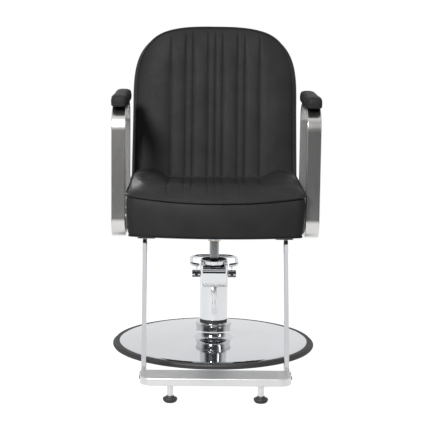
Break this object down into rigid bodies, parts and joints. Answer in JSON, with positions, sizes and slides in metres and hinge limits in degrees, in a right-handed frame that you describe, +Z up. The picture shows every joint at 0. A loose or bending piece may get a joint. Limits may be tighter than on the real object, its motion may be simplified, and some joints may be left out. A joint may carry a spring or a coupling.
{
  "type": "hydraulic salon chair",
  "caption": "Hydraulic hairdressing chair: padded seat and channelled back, steel loop arms with pads, hung footrest, foot-pumped column on a round chromed base; it swivels and lifts.",
  "frame": {"origin": "on the floor, on the axis of the lifting column", "axes": "+Z up, -Y the way the sitter faces, +X to the right for someone who stands in front"},
  "size_m": [0.5854, 0.9522, 0.9202],
  "materials": {
    "chrome": "polished chrome plate",
    "brushed_stainless": "brushed stainless steel",
    "satin_aluminium": "satin aluminium",
    "black_rubber": "black moulded rubber",
    "upholstery": "smooth black leatherette over foam, semi-matt",
    "dust_cover": "black non-woven dust cover",
    "plywood": "bare plywood",
    "zinc_steel": "zinc plated steel",
    "black_screw": "blackened steel",
    "ground_steel": "ground steel",
    "black_paint": "black powder coat",
    "grey_iron": "rough casting",
    "bronze": "turned bronze"
  },
  "bodies": {
    "base": {"base_plate": "chrome", "base_rim": "black_rubber", "floor_plate": "black_paint", "base_ballast": "grey_iron", "base_collar": "chrome", "neck_gasket": "black_rubber", "pump_flange": "black_paint", "pump_flange_bolts": "zinc_steel", "pump_sleeve": "chrome", "oil_reservoir": "ground_steel", "pump_cylinder": "ground_steel", "pump_head": "chrome", "head_ring": "chrome", "rod_bushing": "bronze", "rod_wiper": "black_rubber", "plunger_spring": "ground_steel"},
    "piston": {"piston_rod": "ground_steel", "piston_head": "ground_steel", "piston_seal": "black_rubber", "thrust_washer": "bronze"},
    "pedal": {"lever_shaft": "chrome", "shaft_collar_left": "chrome", "shaft_collar_right": "chrome", "collar_screws": "black_screw", "pedal_bail": "chrome", "rocker": "chrome"},
    "plunger": {"plunger": "ground_steel"},
    "seat": {"arm_bolts": "black_screw", "arm_cap_left": "brushed_stainless", "arm_cap_right": "brushed_stainless", "arm_frame_left": "brushed_stainless", "arm_frame_right": "brushed_stainless", "arm_hub_left": "brushed_stainless", "arm_hub_right": "brushed_stainless", "arm_pad_boards": "black_paint", "arm_pad_left": "upholstery", "arm_pad_right": "upholstery", "arm_pad_screws": "black_screw", "back_bar_left": "black_paint", "back_bar_right": "black_paint", "back_board": "plywood", "back_bolts": "zinc_steel", "back_cushion": "upholstery", "back_panel": "upholstery", "bracket_bolts": "zinc_steel", "foot_stems": "satin_aluminium", "footrest_bolts": "zinc_steel", "footrest_frame": "satin_aluminium", "footrest_leg_left": "chrome", "footrest_leg_right": "chrome", "footrest_tread": "satin_aluminium", "rubber_foot_left": "black_rubber", "rubber_foot_right": "black_rubber", "seat_board": "plywood", "seat_bracket": "zinc_steel", "seat_cushion": "upholstery", "seat_frame": "plywood", "seat_liner": "dust_cover", "t_nuts": "zinc_steel", "tread_screws": "black_screw"}
  },
  "joints": [
    {"name": "seat_lift", "type": "slide", "parent": "base", "child": "piston", "axis": [0, 0, 1], "range_m": [0, 0.15]},
    {"name": "seat_swivel", "type": "hinge", "parent": "piston", "child": "seat", "pos_m": [0, 0, 0.309], "axis": [0, 0, 1], "continuous": true},
    {"name": "pedal_press", "type": "hinge", "parent": "base", "child": "pedal", "pos_m": [0, -0.0275, 0.215], "axis": [-1, 0, 0], "range_deg": [0, 28], "stiffness_Nm_per_rad": 3, "springref_deg": -20.05},
    {"name": "plunger_stroke", "type": "slide", "parent": "base", "child": "plunger", "axis": [0, 0, -1], "range_m": [0, 0.0108], "deforming": ["plunger_spring"]}
  ],
  "couplings": [
    {"joint": "plunger_stroke", "follows": "pedal_press", "m_per_rad": 0.022}
  ]
}
